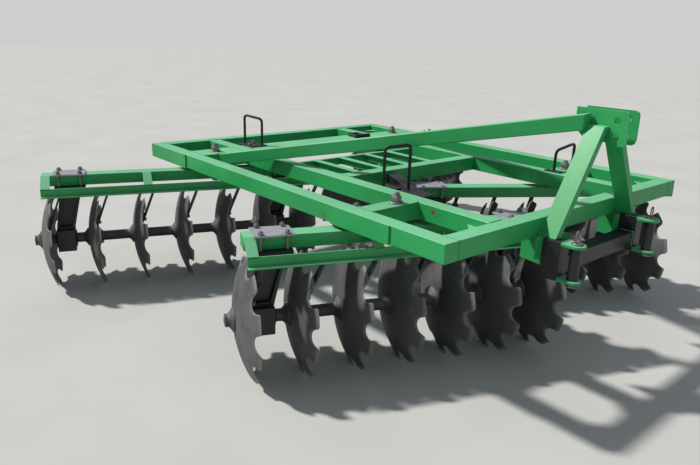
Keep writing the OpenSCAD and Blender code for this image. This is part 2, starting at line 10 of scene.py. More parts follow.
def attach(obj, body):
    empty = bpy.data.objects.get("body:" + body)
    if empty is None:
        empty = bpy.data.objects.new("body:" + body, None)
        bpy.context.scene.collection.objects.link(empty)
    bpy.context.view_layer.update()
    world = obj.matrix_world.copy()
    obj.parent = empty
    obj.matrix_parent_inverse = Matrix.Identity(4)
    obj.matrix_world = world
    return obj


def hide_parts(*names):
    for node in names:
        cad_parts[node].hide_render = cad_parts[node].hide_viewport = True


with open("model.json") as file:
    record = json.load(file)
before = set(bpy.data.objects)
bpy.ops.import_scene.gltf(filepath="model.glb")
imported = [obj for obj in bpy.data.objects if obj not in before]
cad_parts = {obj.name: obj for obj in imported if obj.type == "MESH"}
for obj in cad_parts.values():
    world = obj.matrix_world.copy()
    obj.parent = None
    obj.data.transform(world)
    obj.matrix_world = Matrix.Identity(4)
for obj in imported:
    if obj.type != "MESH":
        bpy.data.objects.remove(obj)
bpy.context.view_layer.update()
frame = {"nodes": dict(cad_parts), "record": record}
nodes = frame["nodes"]
random.seed(7)
print("frame loaded:", len(nodes), "nodes")

# sizes that several pieces share, in metres; y is counted from the front bar's front face
harrow = {
    "frontSetback": 1.1884,
    "frameTop": 0.758,
    "tube": 0.080,
    "halfWidth": 0.940,
    "length": 2.450,
    "innerBar": 0.545,
    "axleHeight": 0.280,
    "beamLow": 0.600,
    "beamHigh": 0.660,
    "beamWidth": 0.090,
}

# the gangs: side, pivot from the middle and from the front, swing in degrees, the beam's reach
# outwards and inwards, outermost disc, number of discs, side the dishes open to, pitch,
# scrapers in front (-1) or behind (1), whether nuts stand on the outer and inner clamps, and
# how far those clamps stand off the middle of their space, towards the side the dishes open to
gangs = {
    "front_right": dict(side=-1, pivot=(0.680, 0.514), swing=22.5, reachOut=0.680, reachIn=0.770,
                        firstDisc=0.720, discs=7, dish=-1, pitch=0.234, scrapers=-1,
                        nuts=(True, True), clampShift=0.046),
    "front_left": dict(side=1, pivot=(0.680, 0.514), swing=-32.5, reachOut=0.680, reachIn=0.905,
                       firstDisc=0.475, discs=7, dish=1, pitch=0.234, scrapers=1,
                       nuts=(False, False), clampShift=0.020),
    "rear_right": dict(side=-1, pivot=(0.744, 2.004), swing=20.0, reachOut=0.963, reachIn=0.560,
                       firstDisc=0.990, discs=7, dish=-1, pitch=0.246, scrapers=-1,
                       nuts=(True, False), clampShift=0.046),
    "rear_left": dict(side=1, pivot=(0.744, 2.004), swing=20.0, reachOut=0.963, reachIn=0.560,
                      firstDisc=0.990, discs=7, dish=-1, pitch=0.246, scrapers=-1,
                      nuts=(True, False), clampShift=0.046),
}


# camera and lamps
view = {"place": (-2.585, -2.5534, 1.463), "yaw": 41.14, "pitch": 17.64, "roll": -1.874,
        "lens": 32.23, "sensor": 36.0, "farthest": 200}


def addCamera():
    yaw, pitch, roll = (math.radians(view[k]) for k in ("yaw", "pitch", "roll"))
    look = Vector((math.sin(yaw) * math.cos(pitch), math.cos(yaw) * math.cos(pitch), -math.sin(pitch)))
    level = Vector((math.cos(yaw), -math.sin(yaw), 0))
    down = look.cross(level)
    right = level * math.cos(roll) + down * math.sin(roll)
    low = down * math.cos(roll) - level * math.sin(roll)
    turn = Matrix((right, -low, -look)).transposed().to_4x4()
    data = bpy.data.cameras.new("photoView")
    data.lens, data.sensor_width, data.sensor_fit = view["lens"], view["sensor"], "HORIZONTAL"
    data.clip_end = view["farthest"]
    camera = bpy.data.objects.new("photoView", data)
    camera.matrix_world = Matrix.Translation(view["place"]) @ turn
    bpy.context.scene.collection.objects.link(camera)
    bpy.context.scene.camera = camera


# kind, place, size (metres, or degrees for the sun), strength, colour
lamps = {
    "key": ("SUN", (-4.4, 5.6, 8.0), 3.5, 3.9, (1.0, 0.975, 0.93)),
    "front": ("AREA", (-2.5, -6.5, 2.2), 4.0, 15, (0.90, 0.95, 1.0)),
}
lampTarget = (0, 0, 0.5)


def addLamps():
    for name, (kind, place, size, strength, colour) in lamps.items():
        data = bpy.data.lights.new(name, kind)
        data.energy, data.color = strength, colour
        if kind == "SUN":
            data.angle = math.radians(size)
        else:
            data.shape, data.size = "DISK", size
        lamp = bpy.data.objects.new(name, data)
        lamp.location = place
        aim = Vector(lampTarget) - Vector(place)
        lamp.rotation_euler = aim.to_track_quat("-Z", "Y").to_euler()
        bpy.context.scene.collection.objects.link(lamp)


# shader maths
class Wire:
    # a socket that can be used in sums; each operator adds a Math node
    def __init__(self, finish, socket):
        self.finish, self.socket = finish, socket

    def sum(self, operation, a, b):
        return self.finish.node("ShaderNodeMath", {"operation": operation}, {0: a, 1: b})

    def __add__(self, other):
        return self.sum("ADD", self, other)

    def __radd__(self, other):
        return self.sum("ADD", other, self)

    def __sub__(self, other):
        return self.sum("SUBTRACT", self, other)

    def __rsub__(self, other):
        return self.sum("SUBTRACT", other, self)

    def __mul__(self, other):
        return self.sum("MULTIPLY", self, other)

    def __rmul__(self, other):
        return self.sum("MULTIPLY", other, self)

    def most(self, other):
        return self.sum("MAXIMUM", self, other)

    def ramp(self, low, high):
        # 0 below low, 1 above high, smooth between
        settings = {"interpolation_type": "SMOOTHSTEP"}
        return self.finish.node("ShaderNodeMapRange", settings, {0: self, 1: low, 2: high})


class Finish:
    # a material: one method adds any node, the rest are short names for what is used often
    def __init__(self, name):
        self.material = bpy.data.materials.new(name)
        self.material.use_nodes = True
        self.tree = self.material.node_tree
        self.shader = self.tree.nodes["Principled BSDF"]
        self.place = self.node("ShaderNodeTexCoord", {}, {}, "Object")
        facing = self.node("ShaderNodeTexCoord", {}, {}, "Normal")
        self.up = self.node("ShaderNodeSeparateXYZ", {}, {0: facing}, 2)

    def node(self, kind, settings, inputs, out=0):
        made = self.tree.nodes.new(kind)
        for key, value in settings.items():
            setattr(made, key, value)
        for key, value in inputs.items():
            self.feed(made.inputs[key], value)
        return Wire(self, made.outputs[out])

    def feed(self, socket, value):
        if isinstance(value, Wire):
            self.tree.links.new(value.socket, socket)
        elif socket.type == "RGBA" and len(value) == 3:
            socket.default_value = (*value, 1)
        else:
            socket.default_value = value

    def set(self, **values):
        for key, value in values.items():
            self.feed(self.shader.inputs[key.replace("_", " ")], value)

    def noise(self, scale, detail=4, rough=0.55):
        inputs = {"Vector": self.place, "Scale": scale, "Detail": detail, "Roughness": rough}
        return self.node("ShaderNodeTexNoise", {}, inputs)

    def mix(self, amount, a, b):
        return self.node("ShaderNodeMix", {"data_type": "RGBA"}, {0: amount, 6: a, 7: b}, 2)

    def near(self, point, inner, outer):
        # 1 within inner of a point, 0 beyond outer
        away = self.node("ShaderNodeVectorMath", {"operation": "DISTANCE"}, {0: self.place, 1: point}, 1)
        return 1 - away.ramp(inner, outer)

    def bump(self, height, strength, distance):
        inputs = {"Strength": strength, "Distance": distance, "Height": height}
        self.set(Normal=self.node("ShaderNodeBump", {}, inputs))


def fromFront(x, y, z):
    # a point given from the middle, the front face and the frame's top, all in metres
    return Vector((x, y - harrow["frontSetback"], harrow["frameTop"] + z))


# linear colours of the green paint, its wear and the places where it has gone; the dust colour is a pale
# mint that serves both for dust and for a painted highlight on the tops
paint = {
    "fresh": (0.012, 0.285, 0.072),
    "worn": (0.022, 0.345, 0.098),
    "dust": (0.36, 0.74, 0.50),
    "soil": (0.20, 0.155, 0.11),
    "rust": (0.17, 0.055, 0.018),
    "rustSpots": [((-0.585, 0.379, -0.030), 0.007, 0.022), ((-0.940, 0.701, -0.058), 0.005, 0.015),
                  ((-0.940, 0.678, -0.060), 0.003, 0.008), ((0.585, 1.30, -0.030), 0.004, 0.014)],
}


def greenFinish():
    f = Finish("greenPaint")
    cloud = f.noise(1.6, 3)
    fine = f.noise(38, 6, 0.7)
    speck = f.noise(190, 3, 0.6)
    colour = f.mix(cloud.ramp(0.35, 0.65), paint["fresh"], paint["worn"])
    # a pale film on what faces up, partly dust and partly a painted highlight that makes the tops paler as
    # if lit from above, and settled dust
    film = f.up.ramp(0.55, 0.95) * (0.26 + cloud * 0.34)
    settled = f.up.ramp(0.6, 1.0) * fine.ramp(0.56, 0.78) * 0.40
    colour = f.mix(film.most(settled), colour, paint["dust"])
    # soil splashed up from the ground
    height = f.node("ShaderNodeSeparateXYZ", {}, {0: f.place}, 2)
    splash = (1 - height.ramp(0.30, 0.72)) * fine.ramp(0.48, 0.62)
    colour = f.mix(splash * 0.5, colour, paint["soil"])
    # small chips, and a few larger spots of rust
    chips = speck.ramp(0.735, 0.75) * cloud.ramp(0.5, 0.62) * 0.8
    colour = f.mix(chips, colour, paint["rust"])
    for (x, y, z), inner, outer in paint["rustSpots"]:
        spot = f.near(fromFront(x, y, z), inner, outer)
        colour = f.mix(spot * (0.15 + fine.ramp(0.44, 0.56) * 0.85), colour, paint["rust"])
    f.set(Base_Color=colour, Roughness=0.44 + film * 0.25 + fine * 0.10, Specular_IOR_Level=0.4,
          Coat_Weight=0.12 - film * 0.12, Coat_Roughness=0.20)
    f.bump(f.noise(420, 2) * 0.4 + fine * 0.6, 0.12, 0.0012)
    return f.material


black = {"paint": (0.007, 0.008, 0.012), "dust": (0.048, 0.051, 0.060)}


def blackFinish():
    f = Finish("blackPaint")
    fine = f.noise(30, 6, 0.7)
    cloud = f.noise(5, 3)
    film = f.up.ramp(0.35, 0.95) * (0.10 + cloud * 0.24)
    film = film.most(fine.ramp(0.60, 0.85) * 0.16)
    f.set(Base_Color=f.mix(film, black["paint"], black["dust"]), Roughness=0.42 + film * 0.4)
    f.bump(fine, 0.25, 0.002)
    return f.material


steel = {"face": (0.060, 0.062, 0.066), "light": (0.115, 0.116, 0.118), "soil": (0.095, 0.084, 0.070),
         "edge": (0.21, 0.21, 0.205)}


def discFinish():
    f = Finish("discSteel")
    rim = f.node("ShaderNodeAttribute", {"attribute_name": "rim"}, {}, "Fac")
    cloud = f.noise(4.5, 5, 0.6)
    fine = f.noise(60, 6, 0.7)
    colour = f.mix(cloud.ramp(0.35, 0.68), steel["face"], steel["light"])
    colour = f.mix(fine.ramp(0.5, 0.72) * 0.5, colour, steel["soil"])
    colour = f.mix(rim.ramp(0.93, 0.99) * 0.7, colour, steel["edge"])
    worn = rim.ramp(0.955, 0.995)
    f.set(Base_Color=colour, Metallic=0.10 + worn * 0.25, Roughness=0.62 + cloud * 0.15 - worn * 0.15)
    f.bump(fine * 0.6 + cloud * 0.4, 0.20, 0.002)
    return f.material


zincColours = {"bright": (0.25, 0.25, 0.245), "dull": (0.12, 0.108, 0.092)}


def zincFinish():
    f = Finish("zinc")
    fine = f.noise(75, 5, 0.7)
    colour = f.mix(fine.ramp(0.42, 0.7), zincColours["bright"], zincColours["dull"])
    f.set(Base_Color=colour, Metallic=0.6, Roughness=0.40 + fine * 0.2)
    f.bump(fine, 0.15, 0.001)
    return f.material


plateColours = {"dark": (0.30, 0.30, 0.345), "light": (0.40, 0.40, 0.45), "soil": (0.20, 0.18, 0.16)}


def plateFinish():
    f = Finish("greyPlate")
    fine = f.noise(45, 6, 0.7)
    cloud = f.noise(9, 3)
    colour = f.mix(cloud.ramp(0.3, 0.7), plateColours["dark"], plateColours["light"])
    colour = f.mix(fine.ramp(0.58, 0.8) * 0.5, colour, plateColours["soil"])
    f.set(Base_Color=colour, Metallic=0.2, Roughness=0.42 + fine * 0.15)
    f.bump(fine, 0.15, 0.0015)
    return f.material


castColours = {"iron": (0.020, 0.021, 0.024), "dust": (0.170, 0.170, 0.172)}


def castFinish():
    f = Finish("castIron")
    fine = f.noise(34, 6, 0.7)
    cloud = f.noise(7, 3)
    film = (0.25 + f.up.ramp(-0.6, 0.9) * 0.5) * cloud.ramp(0.25, 0.7)
    film = film.most(fine.ramp(0.52, 0.8) * 0.4)
    f.set(Base_Color=f.mix(film, castColours["iron"], castColours["dust"]), Roughness=0.62)
    f.bump(fine, 0.35, 0.003)
    return f.material


bladeColours = {"face": (0.10, 0.085, 0.075), "rust": (0.17, 0.13, 0.10)}


def bladeFinish():
    f = Finish("scraperBlade")
    fine = f.noise(35, 6, 0.7)
    f.set(Base_Color=f.mix(fine.ramp(0.4, 0.7), bladeColours["face"], bladeColours["rust"]), Roughness=0.6)
    f.bump(fine, 0.2, 0.0015)
    return f.material


finishes = {
    "green_paint": greenFinish(), "black_paint": blackFinish(), "disc_steel": discFinish(),
    "zinc": zincFinish(), "grey_plate": plateFinish(), "blade": bladeFinish(), "cast": castFinish(),
}
print("finishes made:", len(finishes))


# shapes: each gives a list of points and a list of faces
def block(low, high):
    points = [(x, y, z) for x in (low[0], high[0]) for y in (low[1], high[1]) for z in (low[2], high[2])]
    return points, [(0, 1, 3, 2), (4, 6, 7, 5), (0, 4, 5, 1), (2, 3, 7, 6), (0, 2, 6, 4), (1, 5, 7, 3)]


def prism(outline, start, end):
    # an outline in y and z, drawn out along x
    n = len(outline)
    points = [(x, y, z) for x in (start, end) for y, z in outline]
    faces = [tuple(range(n)), tuple(range(2 * n - 1, n - 1, -1))]
    return points, faces + [(i, i + n, (i + 1) % n + n, (i + 1) % n) for i in range(n)]


def skin(rows, steps):
    # faces over rows of points that each close on themselves, and over both ends
    faces = []
    for i in range(rows - 1):
        for k in range(steps):
            m = (k + 1) % steps
            faces.append((i * steps + k, i * steps + m, (i + 1) * steps + m, (i + 1) * steps + k))
    last = rows * steps
    return faces + [tuple(range(steps)), tuple(range(last - 1, last - steps - 1, -1))]


def turned(profile, steps=40, turn=0.0):
    # a profile of (x, radius) turned about x; it is closed at both ends
    points = []
    for x, radius in profile:
        for k in range(steps):
            a = turn + 2 * math.pi * k / steps
            points.append((x, radius * math.cos(a), radius * math.sin(a)))
    return points, skin(len(profile), steps)


bendSteps = 5                                   # straight pieces in each rounded corner
bead = {"radius": 0.0032, "step": 0.0045, "ripple": 0.13, "wave": 2.1, "scatter": 0.6}


def rounded(path, bend):
    # a row of points with its corners rounded
    out = [path[0]]
    for a, b, c in zip(path, path[1:], path[2:]):
        back, on = (a - b).normalized(), (c - b).normalized()
        start, end = b + back * bend, b + on * bend
        for t in (i / bendSteps for i in range(bendSteps + 1)):
            out.append(start.lerp(b, t).lerp(b.lerp(end, t), t))
    return out + [path[-1]]


def rod(path, radius, steps=12, ripple=0.0):
    # a round bar along a path; a ripple makes it a weld bead
    points, side = [], None
    for i, p in enumerate(path):
        ahead = (path[min(i + 1, len(path) - 1)] - path[max(i - 1, 0)]).normalized()
        side = side or ahead.orthogonal()
        side = (side - ahead * side.dot(ahead)).normalized()
        other = ahead.cross(side)
        uneven = math.sin(i * bead["wave"]) + random.uniform(-bead["scatter"], bead["scatter"])
        r = radius * (1 + ripple * uneven)
        for k in range(steps):
            a = 2 * math.pi * k / steps
            points.append(p + side * (r * math.cos(a)) + other * (r * math.sin(a)))
    return points, skin(len(path), steps)


upright = Matrix.Rotation(math.radians(-90), 4, "Y")        # turns x to z

# shares of a nut's radius and height, of a bolt's radius, and of a washer's thickness
nutShares = {"foot": 0.97, "low": 0.08, "high": 0.86, "crown": 0.90}
studShares = {"shoulder": 0.35, "brow": 0.10, "browRadius": 0.82, "tip": 0.35}
washerShares = {"side": 0.7, "corner": 0.3}


def stood(shape):
    # a shape turned about x, stood up along z
    points, faces = shape
    return [upright @ Vector(p) for p in points], faces


def lying(place, way):
    # lays what stands along z over, to point along x one way or the other
    return Matrix.Translation(place) @ Matrix.Rotation(math.radians(90 * way), 4, "Y")


def nut(across, height, turn=0.0):
    # a hexagon nut standing on z = 0, its corners taken off at both ends
    r, n = across / math.sqrt(3), nutShares
    profile = [(0, r * n["foot"]), (height * n["low"], r), (height * n["high"], r), (height, r * n["crown"])]
    return stood(turned(profile, 6, turn))


def stud(diameter, low, high):
    # the end of a bolt, with a small dome
    r, n = diameter / 2, studShares
    profile = [(low, r), (high - r * n["shoulder"], r), (high - r * n["brow"], r * n["browRadius"]),
               (high, r * n["tip"])]
    return stood(turned(profile, 16))


def washer(diameter, thickness):
    r, n = diameter / 2, washerShares
    profile = [(0, r), (thickness * n["side"], r), (thickness, r - thickness * n["corner"])]
    return stood(turned(profile, 28))


class Stock:
    # gathers shapes and makes one mesh of them
    def __init__(self):
        self.points, self.faces = [], []

    def add(self, shape, matrix=None):
        points, faces = shape
        first = len(self.points)
        self.points += [matrix @ Vector(p) if matrix else Vector(p) for p in points]
        self.faces += [tuple(first + i for i in face) for face in faces]
        return self

    def make(self, name, body, finish, bevel=0.0, replaces=(), slot=None, sharp=38):
        mesh = bpy.data.meshes.new(name)
        mesh.from_pydata(self.points, [], self.faces)
        shaped = bmesh.new()
        shaped.from_mesh(mesh)
        bmesh.ops.recalc_face_normals(shaped, faces=shaped.faces)
        shaped.to_mesh(mesh)
        shaped.free()
        mesh.polygons.foreach_set("use_smooth", [True] * len(mesh.polygons))
        mesh.set_sharp_from_angle(angle=math.radians(sharp))
        mesh.materials.append(finishes[finish])
        piece = bpy.data.objects.new(name, mesh)
        bpy.context.scene.collection.objects.link(piece)
        if bevel:
            soften(piece, bevel)
        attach(piece, body)
        if replaces:
            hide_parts(*replaces)
        return piece


# bevel segments and the angle in degrees that counts as an edge, bevels of the beams and hangers,
# and how close points are joined
softEdge = {"segments": 2, "angle": 35, "beam": 0.004, "hangers": 0.002, "join": 0.00002}


def soften(piece, width):
    # rounded edges whose flat faces stay flat
    edge = piece.modifiers.new("edges", "BEVEL")
    edge.width, edge.segments, edge.limit_method = width, softEdge["segments"], "ANGLE"
    edge.angle_limit, edge.harden_normals = math.radians(softEdge["angle"]), True


# pieces that stay as the CAD drew them, with the width of their softened edges; the top link plates
# stay sharp, because a softened edge draws a dark wedge between their holes
kept = {
    "side_rails": 0.005, "end_bars": 0.005, "inner_bars": 0.005, "front_pivot_members": 0.004,
    "mid_member": 0.005, "rear_pivot_member": 0.005, "grid": 0.0012, "corner_gussets": 0.0015,
    "side_plates": 0.0018, "tower_legs": 0.004, "stays": 0.005,
    "hitch_tube": 0.005, "hitch_blocks": 0.004, "hitch_gussets": 0.0015, "hitch_clevises": 0.002,
    "depth_channel": 0.0015, "pivot_washers": 0.001,
}


def edgeWidth(name):
    if name.endswith("_beam"):
        return softEdge["beam"]
    return softEdge["hangers"] if name.endswith("_hangers") else kept.get(name, 0)


def dressKept():
    slots = {s["node"]: s["material_slot"] for s in frame["record"]["subparts"]}
    for name, piece in nodes.items():
        piece.data.materials.clear()
        piece.data.materials.append(finishes[slots[name]])
        if edgeWidth(name):
            join = piece.modifiers.new("join", "WELD")
            join.merge_threshold = softEdge["join"]
            soften(piece, edgeWidth(name))


# gangs
def mirrorX(wanted):
    return Matrix.Scale(-1 if wanted else 1, 4, (1, 0, 0))


def gangMatrix(g):
    # local x runs outwards along the beam from the pivot, y to the rear
    front = Matrix.Translation((0, -harrow["frontSetback"], 0))
    pivot = Matrix.Translation((*g["pivot"], 0))
    swing = Matrix.Rotation(math.radians(g["swing"]), 4, "Z")
    return front @ mirrorX(g["side"] < 0) @ pivot @ swing


def hub(g, i):
    return g["firstDisc"] - i * g["pitch"]


def space(g, i):
    # the middle of the space behind disc i
    return hub(g, i) - g["pitch"] / 2 + g["dish"] * disc["thickness"] / 2


# edge holds two rows of points towards the rim, each with the share of the sharpened width that is
# still to come and the share of the thickness that is left
disc = {"diameter": 0.560, "thickness": 0.005, "dish": 0.070, "flat": 0.150, "notches": 10,
        "notchRadius": 0.046, "notchSteps": 12, "landSteps": 7, "hole": 0.040, "rings": 9,
        "sharpened": 0.012, "edge": ((0.4, 0.55), (0, 0.22))}


def discOutline():
    # angle and reach of each point round a notched disc
    outer, notch = disc["diameter"] / 2, disc["notchRadius"]
    half = 2 * math.asin(notch / 2 / outer)
    step = 2 * math.pi / disc["notches"]
    outline = []
    for k in range(disc["notches"]):
        for i in range(disc["notchSteps"]):
            off = -half + 2 * half * i / disc["notchSteps"]
            bite = math.sqrt(max(0, notch ** 2 - (outer * math.sin(off)) ** 2))
            outline.append((k * step + off, outer * math.cos(off) - bite))
        for i in range(disc["landSteps"]):
            off = half + (step - 2 * half) * i / disc["landSteps"]
            outline.append((k * step + off, outer))
    return outline


def discShape():
    # one notched dished disc: two skins joined at a thinned edge; also gives each point's rim value
    outer, flat, hole = (disc[k] / 2 for k in ("diameter", "flat", "hole"))
    ball = (outer ** 2 + disc["dish"] ** 2) / (2 * disc["dish"])
    flatDepth = ball - math.sqrt(ball ** 2 - flat ** 2)
    outline, rings = discOutline(), disc["rings"]
    n, rows = len(outline), rings + len(disc["edge"])
    points, rims = [], []
    for side in (0, 1):
        for j in range(rows):
            for a, reach in outline:
                if j < rings:
                    r = hole + (reach - disc["sharpened"] - hole) * j / (rings - 1)
                    thick = disc["thickness"]
                else:
                    back, thin = disc["edge"][j - rings]
                    r, thick = reach - disc["sharpened"] * back, disc["thickness"] * thin
                depth = ball - math.sqrt(ball ** 2 - r ** 2) - flatDepth
                x = max(depth, 0) + (disc["thickness"] if side else disc["thickness"] - thick)
                points.append((x, r * math.cos(a), r * math.sin(a)))
                rims.append(r / reach)
    faces = []
    for side in (0, 1):
        for j in range(rows - 1):
            low = (side * rows + j) * n
            faces += [(low + k, low + (k + 1) % n, low + n + (k + 1) % n, low + n + k) for k in range(n)]
    for k in range(n):
        m = (k + 1) % n
        for j in (0, rows - 1):
            faces.append((j * n + k, j * n + m, (rows + j) * n + m, (rows + j) * n + k))
    return points, faces, rims


def addDiscs(name, g, shape):
    points, faces, rims = shape
    stock, values = Stock(), []
    for i in range(g["discs"]):
        place = Matrix.Translation((hub(g, i), 0, harrow["axleHeight"]))
        stock.add((points, faces), gangMatrix(g) @ place @ mirrorX(g["dish"] < 0))
        values += rims
    piece = stock.make(name + "_notched_discs", name + "_disc_set", "disc_steel",
                       replaces=(name + "_discs",), sharp=30)
    piece.data.attributes.new("rim", "FLOAT", "POINT").data.foreach_set("value", values)


# a bell is a profile of (x, radius) from the disc outwards, whose last radius is the tube's
spool = {"rod": 0.032, "tail": 0.014, "point": 0.003, "pointed": 0.55, "nut": (0.050, 0.011),
         "bell": [(0, 0.054), (0.0045, 0.054), (0.0065, 0.0530), (0.010, 0.0485), (0.014, 0.042),
                  (0.019, 0.0350), (0.025, 0.0300), (0.030, 0.0280)]}


def axleProfile(g):
    # one line: end bolt, end bell, then bell, tube and bell between each two discs; also gives both ends
    bell, bolt, tail, point = spool["bell"], spool["rod"] / 2, spool["tail"], spool["point"]
    reach, thick, tip = bell[-1][0], disc["thickness"], bolt * spool["pointed"]
    end = (g["discs"] - 1) * g["pitch"] + thick + reach
    profile = [(-reach - tail, tip), (-reach - tail + point, bolt), (-reach, bolt)]
    profile += [(-x, r) for x, r in reversed(bell)]
    for i in range(g["discs"]):
        at = i * g["pitch"] + thick
        profile += [(at + x, r) for x, r in bell]
        if i < g["discs"] - 1:
            profile += [(at + g["pitch"] - thick - x, r) for x, r in reversed(bell)]
    profile += [(end, bolt), (end + tail - point, bolt), (end + tail, tip)]
    return profile, (-reach, end)


def addAxle(name, g):
    profile, ends = axleProfile(g)
    first = hub(g, g["discs"] - 1) if g["dish"] > 0 else hub(g, 0)
    place = Matrix.Translation((first, 0, harrow["axleHeight"]))
    place = gangMatrix(g) @ place @ mirrorX(g["dish"] < 0)
    stock = Stock().add(turned(profile), place)
    for x, way in zip(ends, (-1, 1)):
        stock.add(nut(*spool["nut"]), place @ lying((x, 0, 0), way))
    stock.make(name + "_spools", name + "_disc_set", "cast", replaces=(name + "_axle",),
               slot="black_paint", sharp=32)


# washers are diameter and thickness, nuts width across flats and height
clamp = {"length": 0.172, "width": 0.134, "thickness": 0.008, "bolt": 0.014, "boltGap": 0.112,
         "flange": 0.028, "beside": 0.001, "below": 0.004, "washer": (0.028, 0.0025),
         "nut": (0.021, 0.011), "end": 0.019, "plainWasher": (0.026, 0.004), "plainEnd": 0.003,
         "lowNut": (0.022, 0.012)}


def clampPlaces(g):
    return [space(g, i) + g["dish"] * g["clampShift"] for i in (0, g["discs"] - 2)]


def addClamps(name, g):
    plates, bolts = Stock(), Stock()
    half, wide = clamp["length"] / 2, clamp["width"] / 2
    top = harrow["beamHigh"] + clamp["thickness"]
    drop = harrow["beamLow"] - clamp["flange"] - top
    across = (harrow["beamWidth"] + clamp["bolt"]) / 2 + clamp["beside"]
    for x, high in zip(clampPlaces(g), g["nuts"]):
        plates.add(block((x - half, -wide, harrow["beamHigh"]), (x + half, wide, top)), gangMatrix(g))
        for i in (-1, 1):
            for j in (-1, 1):
                at = gangMatrix(g) @ Matrix.Translation((x + i * clamp["boltGap"] / 2, j * across, top))
                bolts.add(washer(*clamp["washer" if high else "plainWasher"]), at)
                if high:
                    seat = at @ Matrix.Translation((0, 0, clamp["washer"][1]))
                    bolts.add(nut(*clamp["nut"], random.random()), seat)
                end = clamp["end" if high else "plainEnd"]
                bolts.add(stud(clamp["bolt"], drop - clamp["below"], end), at)
                under = at @ Matrix.Translation((0, 0, drop)) @ Matrix.Rotation(math.pi, 4, "X")
                bolts.add(nut(*clamp["lowNut"], random.random()), under)
    plates.make(name + "_clamp_plates", name + "_gang", "grey_plate", 0.0015,
                replaces=(name + "_clamps",))
    bolts.make(name + "_clamp_bolts", name + "_gang", "zinc")


# armStart is y and z from the bar's edge, armEnd y and the height over the axle, armCut what is cut off
# an arm's top and foot; the blade's outline is y across the arm and z from its foot
scraper = {"edgeY": -0.160, "edgeDrop": 0.018, "leg": 0.034, "thickness": 0.006, "least": 0.150,
           "strap": 0.048, "strapThickness": 0.0072, "strapPitch": 0.535, "arm": 0.036,
           "armThickness": 0.010, "armTop": 0.120, "armFoot": 0.042, "armStart": (0.018, -0.014),
           "armEnd": (-0.100, 0.076), "armCut": (0.008, 0.010), "bladeThickness": 0.006,
           "blade": ((-0.030, -0.075), (0.030, -0.065), (0.034, -0.004), (-0.012, 0.004)),
           "boltUp": 0.045, "bolt": 0.010, "boltEnd": 0.013, "nut": (0.018, 0.009)}


def scraperPlace(g):
    # the gang's own place, with the scrapers on their side of the beam
    behind = Matrix.Scale(-1 if g["scrapers"] > 0 else 1, 4, (0, 1, 0))
    return gangMatrix(g) @ behind


def scraperEdge():
    # y and z that the bar and its arms are measured from
    return scraper["edgeY"], harrow["beamLow"] - scraper["edgeDrop"]


def addScraperBar(name, g):
    # an angle with an upright leg at the back and a lip forward at its foot, and straps to the beam
    y, z = scraperEdge()
    k, t = scraper["leg"] / math.sqrt(2), scraper["thickness"]
    back = y + k + t / math.sqrt(2)
    angle = [(y, z - k), (y, z - k + t), (back - t, z - k + t), (back - t, z + k), (back, z + k),
             (back, z - k)]
    inner = g["reachIn"]
    if g["dish"] < 0:
        inner = max(inner, scraper["least"] - hub(g, g["discs"] - 1))
    green = Stock().add(prism(angle, -inner, g["reachOut"]), scraperPlace(g))
    start, foot = (-harrow["beamWidth"] / 2, harrow["beamHigh"]), (back - t, z + k)
    thick, wide = scraper["strapThickness"], scraper["strap"]
    strap = [start, (start[0], start[1] - thick), (foot[0], foot[1] - thick), foot]
    count = int((g["reachOut"] + g["reachIn"] - wide) / scraper["strapPitch"])
    for i in range(count + 1):
        x = g["reachOut"] - wide - i * scraper["strapPitch"]
        green.add(prism(strap, x, x + wide), scraperPlace(g))
    green.make(name + "_scraper_bar", name + "_gang", "green_paint", 0.0012,
               replaces=(name + "_scrapers",))


def addScraperArms(name, g):
    # one arm, blade and bolt for each disc
    edgeY, edgeZ = scraperEdge()
    (startY, startZ), (endY, endZ) = scraper["armStart"], scraper["armEnd"]
    cutTop, cutFoot = scraper["armCut"]
    arms, blades, bolts = Stock(), Stock(), Stock()
    side = g["dish"] * scraper["armThickness"] / 2
    near, far = sorted((-side, -side - g["dish"] * scraper["bladeThickness"]))
    thick, half = scraper["armThickness"] / 2, scraper["arm"] / 2
    for i in range(g["discs"]):
        top = Vector((hub(g, i) + g["dish"] * scraper["armTop"], edgeY + startY, edgeZ + startZ))
        foot = Vector((hub(g, i) + g["dish"] * scraper["armFoot"], endY, harrow["axleHeight"] + endZ))
        down, long = (foot - top).normalized(), (foot - top).length
        across = down.cross(Vector((0, 1, 0))).normalized()
        turn = Matrix((across, across.cross(down) * -1, down)).transposed().to_4x4()
        at = scraperPlace(g) @ Matrix.Translation(top) @ turn
        arms.add(block((-thick, -half, cutTop), (thick, half, long - cutFoot)), at)
        blades.add(prism([(y, long + z) for y, z in scraper["blade"]], near, far), at)
        lie = at @ lying((side, 0, long - scraper["boltUp"]), g["dish"])
        bolts.add(nut(*scraper["nut"]), lie)
        bolts.add(stud(scraper["bolt"], 0, scraper["boltEnd"]), lie)
    arms.make(name + "_scraper_arms", name + "_gang", "black_paint", 0.0015)
    blades.make(name + "_scraper_blades", name + "_gang", "blade", 0.0008, slot="black_paint")
    bolts.make(name + "_scraper_bolts", name + "_gang", "zinc")


# half widths of a hanger's window at its foot and top, the thickness of the web that fills it as painted
# shade, and its heights over the axle
hanger = {"window": (0.034, 0.042), "web": 0.012, "low": 0.072, "high": 0.270}
# a seal ring's distance from the middle of its bearing, and its outline as radius and z
sealRing = {"out": 0.048, "steps": 32,
            "outline": ((0.0295, -0.004), (0.050, -0.004), (0.050, 0.003), (0.045, 0.006), (0.0295, 0.006))}


def ringShape():
    # the closed outline turned about z
    outline, steps = sealRing["outline"], sealRing["steps"]
    points, faces = [], []
    for radius, z in outline:
        for k in range(steps):
            a = 2 * math.pi * k / steps
            points.append((radius * math.cos(a), radius * math.sin(a), z))
    for j in range(len(outline)):
        row, after = j * steps, (j + 1) % len(outline) * steps
        faces += [(row + k, row + (k + 1) % steps, after + (k + 1) % steps, after + k) for k in range(steps)]
    return points, faces


